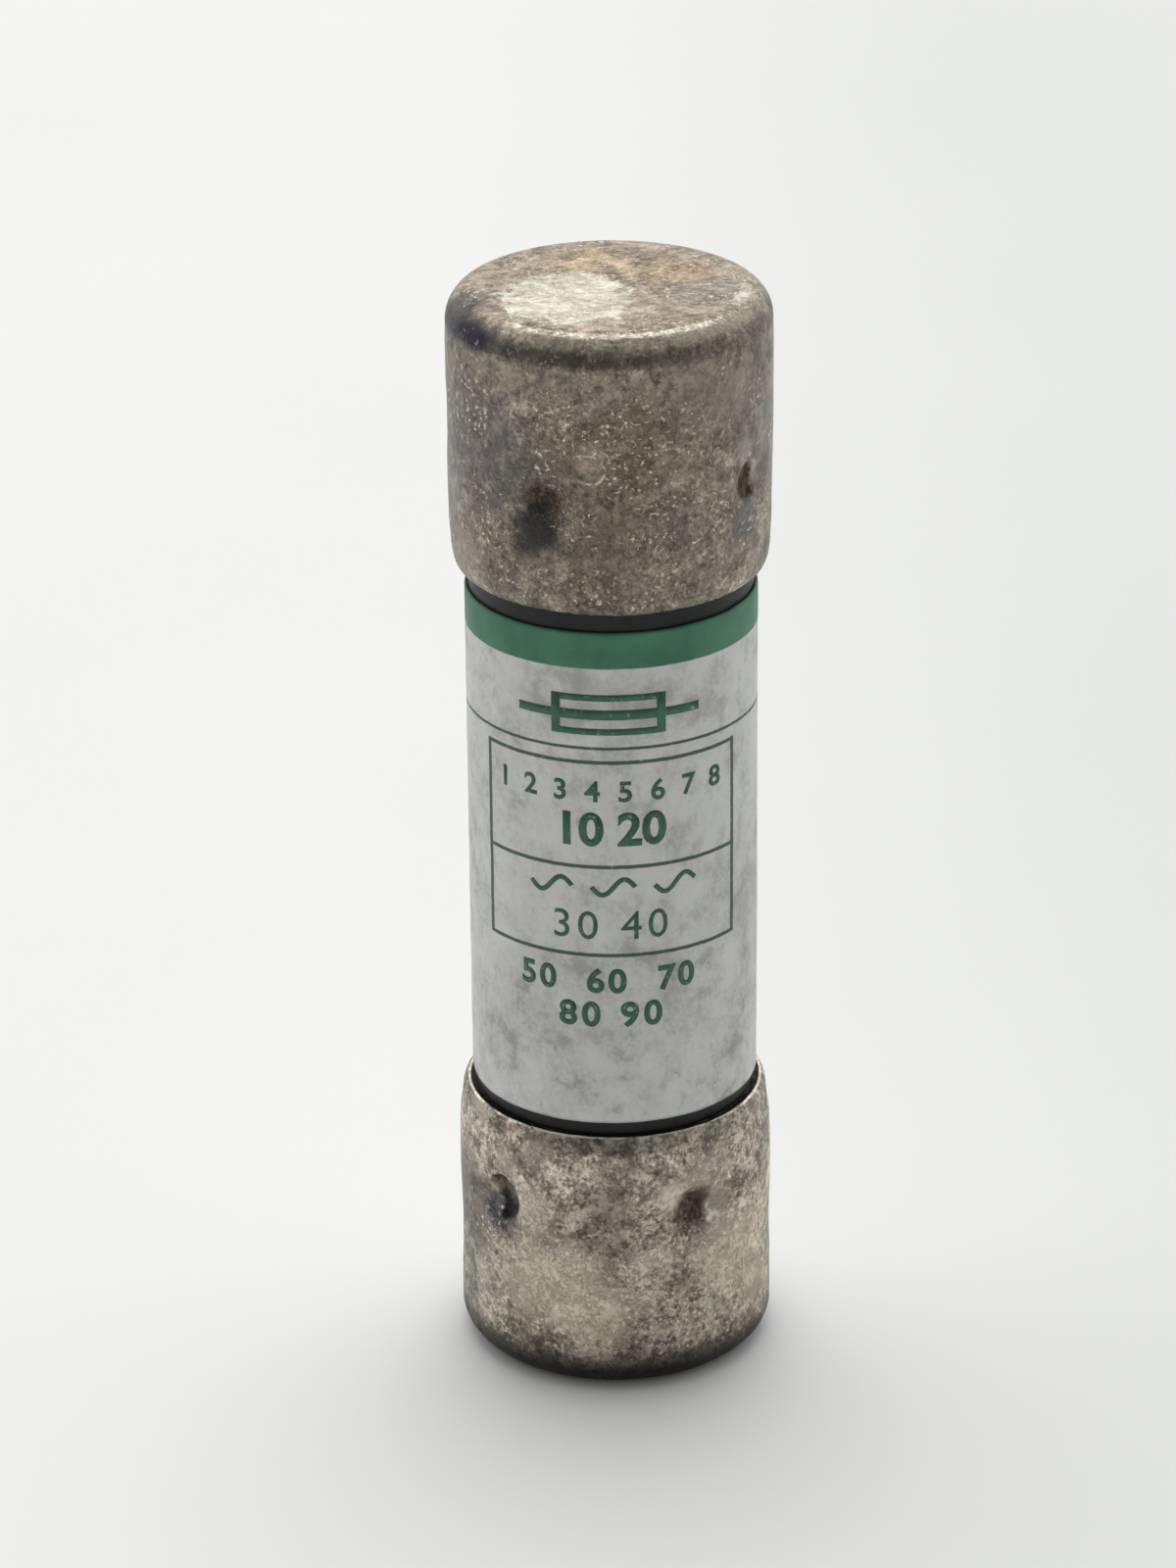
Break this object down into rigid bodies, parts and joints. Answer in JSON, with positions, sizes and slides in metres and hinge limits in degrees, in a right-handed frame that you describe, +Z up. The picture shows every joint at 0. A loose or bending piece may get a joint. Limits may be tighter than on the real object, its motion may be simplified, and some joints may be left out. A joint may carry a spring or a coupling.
{
  "type": "cartridge fuse",
  "caption": "Cylindrical cartridge fuse: plated end ferrules staked onto a black laminate tube, paper label round it, notched silver ribbon in sand inside; snaps into fuse clips.",
  "frame": {"origin": "centre of the lower ferrule's end, on the plane of the crest ring on which the fuse stands", "axes": "+Z up the fuse's axis to the upper ferrule, -Y towards the printed front of the label, +X to the right of that front"},
  "size_m": [0.0142, 0.0142, 0.0508],
  "materials": {
    "laminate": "satin",
    "plated_ferrule": "satin",
    "label_paper": "satin",
    "label_ink": "matte",
    "silver_ribbon": "satin",
    "quartz_sand": "matte",
    "fibre": "matte",
    "solder": "satin"
  },
  "bodies": {
    "root": {"tube": "laminate", "ferrule_lower": "plated_ferrule", "ferrule_upper": "plated_ferrule", "label": "label_paper", "fuse_element": "silver_ribbon", "sand_filler": "quartz_sand", "washer_lower": "fibre", "washer_upper": "fibre", "solder_lower": "solder", "solder_upper": "solder"}
  },
  "joints": []
}
